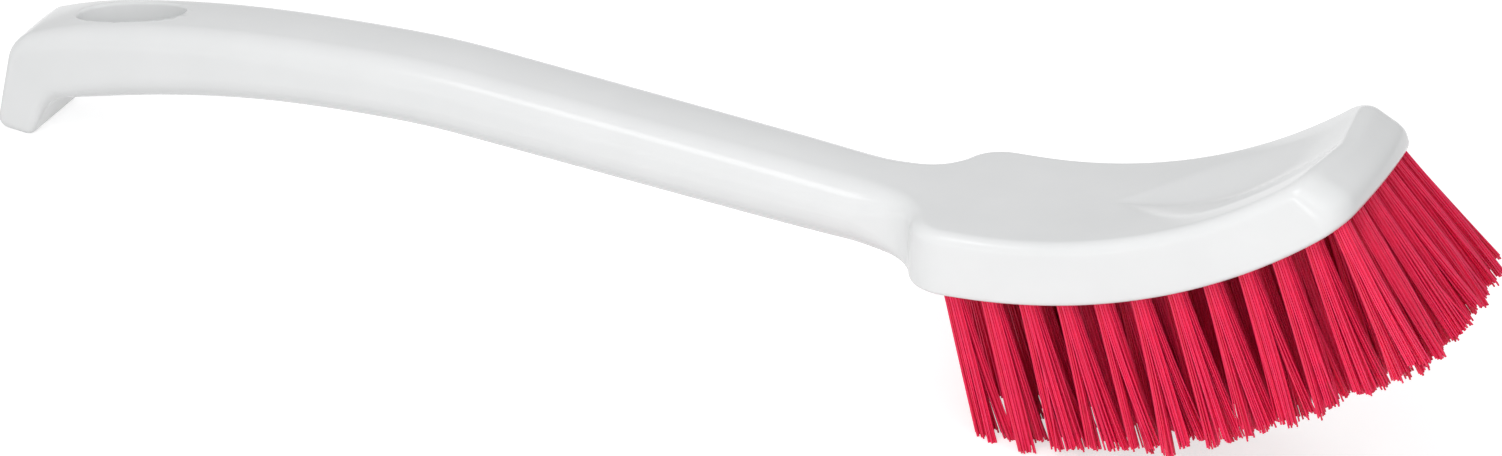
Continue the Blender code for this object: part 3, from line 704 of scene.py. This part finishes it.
def tuft_mesh(mesh, name, place, y, lean, side_lean):
    """All filaments of one tuft, trimmed along the head and at the table."""
    source = random.Random(name)
    root, axis, across, along = tuft_frame(place, y, lean, side_lean)
    heading = spine_frame(place)[2]
    trim = Vector((math.sin(heading), 0, -math.cos(heading)))
    length = tuft_length(place)
    tuft_drift = round_sample(source, TUFT_DRIFT)
    clumps = []
    for number in range(CLUMP_COUNT):
        clumps.append((round_sample(source, CLUMP_DRIFT), source.gauss(0, CLUMP_LENGTH_SPREAD)))
    for start, clump, centre in filament_starts():
        clump_drift, clump_change = clumps[clump]
        drift = tuft_drift + clump_drift + round_sample(source, FILAMENT_DRIFT)
        if source.random() < STRAY_SHARE:
            drift += round_sample(source, STRAY_DRIFT)
        change = clump_change + source.gauss(0, FILAMENT_LENGTH_SPREAD)

        def at(out):
            flat = fanned(start, centre, drift, max(out, 0) / length)
            return root + across * flat[0] + along * flat[1] + axis * out

        end = at(length)
        middle = root + axis * length
        slope = (end - at(length * (1 - TIP_SLOPE_SHARE))) / (length * TIP_SLOPE_SHARE)
        reach = length + (middle - end).dot(trim) / slope.dot(trim) + change
        tip = at(reach)
        if tip[2] < TABLE_CLEARANCE:
            reach += (TABLE_CLEARANCE - tip[2]) / slope[2]
        points = [
            at(between(-FILAMENT_ROOT_DEPTH, reach, step / FILAMENT_SEGMENTS))
            for step in range(FILAMENT_SEGMENTS + 1)
        ]
        filament(mesh, points, across, along)


def cut(thing, name, mesh_maker):
    """Cut the shape that mesh_maker builds out of a thing, and apply the cut."""
    cutter = make_object(name, mesh_maker)
    modifier = thing.modifiers.new(name, "BOOLEAN")
    modifier.operation = "DIFFERENCE"
    modifier.solver = "EXACT"
    modifier.object = cutter
    graph = bpy.context.evaluated_depsgraph_get()
    result = bpy.data.meshes.new_from_object(thing.evaluated_get(graph))
    thing.modifiers.remove(modifier)
    thing.data = result
    bpy.data.objects.remove(cutter)


def new_material(name):
    """Empty node material: (material, node tree, Principled shader)."""
    material = bpy.data.materials.new(name)
    material.use_nodes = True
    tree = material.node_tree
    return material, tree, tree.nodes["Principled BSDF"]


def noise(tree, scale, detail):
    """Noise in object coordinates at this scale per metre."""
    place = tree.nodes.new("ShaderNodeTexCoord")
    texture = tree.nodes.new("ShaderNodeTexNoise")
    texture.inputs["Scale"].default_value = scale
    texture.inputs["Detail"].default_value = detail
    tree.links.new(place.outputs["Object"], texture.inputs["Vector"])
    return texture.outputs["Fac"]


def ramp(tree, source, stops):
    """Colour ramp of (position, colour) stops over a value."""
    node = tree.nodes.new("ShaderNodeValToRGB")
    elements = node.color_ramp.elements
    while len(elements) < len(stops):
        elements.new(0.5)
    for element, (position, colour) in zip(elements, stops):
        element.position = position
        element.color = colour
    tree.links.new(source, node.inputs["Fac"])
    return node.outputs["Color"]


def scaled(tree, source, low, high):
    """A value from 0..1 carried over to low..high."""
    node = tree.nodes.new("ShaderNodeMapRange")
    node.inputs["To Min"].default_value = low
    node.inputs["To Max"].default_value = high
    tree.links.new(source, node.inputs["Value"])
    return node.outputs["Result"]


def ripple(tree, shader, texture, strength, distance):
    """Fine bump over a whole surface, from noise of this scale and detail."""
    bump = tree.nodes.new("ShaderNodeBump")
    bump.inputs["Strength"].default_value = strength
    bump.inputs["Distance"].default_value = distance
    tree.links.new(noise(tree, *texture), bump.inputs["Height"])
    tree.links.new(bump.outputs["Normal"], shader.inputs["Normal"])


def plastic_material():
    """Glossy white polypropylene: faint cloudiness and the fine ripple of a moulded surface."""
    material, tree, shader = new_material("white_polypropylene")
    tone = ramp(tree, noise(tree, *PLASTIC_CLOUD), PLASTIC_TONES)
    tree.links.new(tone, shader.inputs["Base Color"])
    roughness = scaled(tree, noise(tree, *PLASTIC_POLISH), *PLASTIC_ROUGHNESS)
    tree.links.new(roughness, shader.inputs["Roughness"])
    shader.inputs["Specular IOR Level"].default_value = PLASTIC_REFLECTION
    ripple(tree, shader, PLASTIC_RIPPLE, *PLASTIC_BUMP)
    return material


def bristle_material():
    """Red polyester filament: each differs a little in colour, with faint clouds along it."""
    material, tree, shader = new_material("red_polyester")
    island = tree.nodes.new("ShaderNodeNewGeometry").outputs["Random Per Island"]
    cloud = ramp(tree, noise(tree, *BRISTLE_CLOUD), BRISTLE_CLOUD_TONES)
    clouded = tree.nodes.new("ShaderNodeMix")
    clouded.data_type = "RGBA"
    clouded.blend_type = "MULTIPLY"
    clouded.inputs["Factor"].default_value = BRISTLE_CLOUD_SHARE
    tree.links.new(ramp(tree, island, BRISTLE_TONES), clouded.inputs["A"])
    tree.links.new(cloud, clouded.inputs["B"])
    tree.links.new(clouded.outputs["Result"], shader.inputs["Base Color"])
    shader.inputs["Roughness"].default_value = BRISTLE_ROUGHNESS
    ripple(tree, shader, BRISTLE_RIPPLE, *BRISTLE_BUMP)
    return material


def floor_material():
    """Pale matt floor that photographs white where no shadow falls on it."""
    material, tree, shader = new_material("pale_floor")
    tone = ramp(tree, noise(tree, *FLOOR_CLOUD), FLOOR_TONES)
    tree.links.new(tone, shader.inputs["Base Color"])
    shader.inputs["Roughness"].default_value = FLOOR_ROUGHNESS
    shader.inputs["Specular IOR Level"].default_value = 0.0
    # The lift shows in the picture and in reflections, and casts no light on the brush.
    path = tree.nodes.new("ShaderNodeLightPath")
    seen = path.outputs["Is Camera Ray"]
    for kind in ("Is Glossy Ray", "Is Transmission Ray"):
        either = tree.nodes.new("ShaderNodeMath")
        either.operation = "MAXIMUM"
        tree.links.new(seen, either.inputs[0])
        tree.links.new(path.outputs[kind], either.inputs[1])
        seen = either.outputs["Value"]
    lift = tree.nodes.new("ShaderNodeMath")
    lift.operation = "MULTIPLY"
    lift.inputs[1].default_value = FLOOR_LIFT
    tree.links.new(seen, lift.inputs[0])
    shader.inputs["Emission Color"].default_value = (1, 1, 1, 1)
    tree.links.new(lift.outputs["Value"], shader.inputs["Emission Strength"])
    return material


def make_floor():
    """Large flat floor under the brush."""
    def plane(mesh):
        half = FLOOR_SIZE / 2
        corners = ((-half, -half), (half, -half), (half, half), (-half, half))
        mesh.faces.new([mesh.verts.new((x, y, 0)) for x, y in corners])

    floor = make_object("floor", plane)
    floor.data.materials.append(floor_material())


def make_world():
    """Soft grey surroundings, a little lighter and bluer overhead than at the horizon."""
    world = bpy.data.worlds.new("studio")
    bpy.context.scene.world = world
    world.use_nodes = True
    tree = world.node_tree
    place = tree.nodes.new("ShaderNodeTexCoord")
    split = tree.nodes.new("ShaderNodeSeparateXYZ")
    tree.links.new(place.outputs["Generated"], split.inputs["Vector"])
    tone = ramp(tree, split.outputs["Z"], (
        (0.0, (SKY_HORIZON, SKY_HORIZON, SKY_HORIZON, 1)),
        (SKY_ZENITH_STOP, (SKY_ZENITH, SKY_ZENITH, SKY_ZENITH * SKY_ZENITH_BLUE, 1)),
    ))
    tree.links.new(tone, tree.nodes["Background"].inputs["Color"])


def make_light(name, place, target, size, power):
    """Rectangular softbox at a place, turned to a target."""
    data = bpy.data.lights.new(name, "AREA")
    data.shape = "RECTANGLE"
    data.size, data.size_y = size
    data.energy = power
    light = bpy.data.objects.new(name, data)
    light.location = place
    light.rotation_euler = (Vector(target) - Vector(place)).to_track_quat("-Z", "Y").to_euler()
    bpy.context.scene.collection.objects.link(light)


def make_camera():
    """Camera at the photograph's viewing angle."""
    data = bpy.data.cameras.new("camera")
    data.lens = CAMERA_LENS
    data.sensor_width = SENSOR_WIDTH
    data.sensor_fit = "HORIZONTAL"
    data.clip_start = CLIP_NEAR
    data.clip_end = CLIP_FAR
    camera = bpy.data.objects.new("camera", data)
    turn = Matrix((CAMERA_RIGHT, CAMERA_UP, CAMERA_BACK)).transposed()
    place = CAMERA_TARGET + CAMERA_BACK * CAMERA_DISTANCE
    camera.matrix_world = Matrix.Translation(place) @ turn.to_4x4()
    bpy.context.scene.collection.objects.link(camera)
    bpy.context.scene.camera = camera


def make_moulding():
    """The white moulding, which stands for the CAD body."""
    body = make_object("moulding", moulding_mesh)
    cut(body, "hang_hole_cutter", hang_hole_mesh)
    cut(body, "tuft_hole_cutter", tuft_holes_mesh)
    body.data.materials.clear()
    body.data.materials.append(plastic_material())
    body.data.shade_smooth()
    body.data.set_sharp_from_angle(angle=MOULDING_SHARP_ANGLE)
    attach(body, "root")
    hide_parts("brush_body")


def make_tufts():
    """Every tuft, which stands for its CAD node."""
    material = bristle_material()
    for name, *place in tuft_places():
        tuft = make_object(name.replace("tuft_", "filaments_"), tuft_mesh, name, *place)
        tuft.data.materials.append(material)
        tuft.data.shade_smooth()
        tuft.data.set_sharp_from_angle(angle=FILAMENT_SHARP_ANGLE)
        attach(tuft, "root")
        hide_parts(name)


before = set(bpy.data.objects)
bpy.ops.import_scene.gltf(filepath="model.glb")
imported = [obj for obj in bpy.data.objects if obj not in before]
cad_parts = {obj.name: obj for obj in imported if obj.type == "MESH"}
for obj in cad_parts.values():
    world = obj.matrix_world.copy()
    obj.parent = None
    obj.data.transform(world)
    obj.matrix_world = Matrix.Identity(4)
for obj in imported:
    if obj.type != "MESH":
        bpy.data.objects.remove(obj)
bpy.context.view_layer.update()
make_moulding()
make_tufts()
make_floor()
make_world()
for light in LIGHTS:
    make_light(*light)
make_camera()
bpy.context.scene.view_settings.view_transform = "Standard"
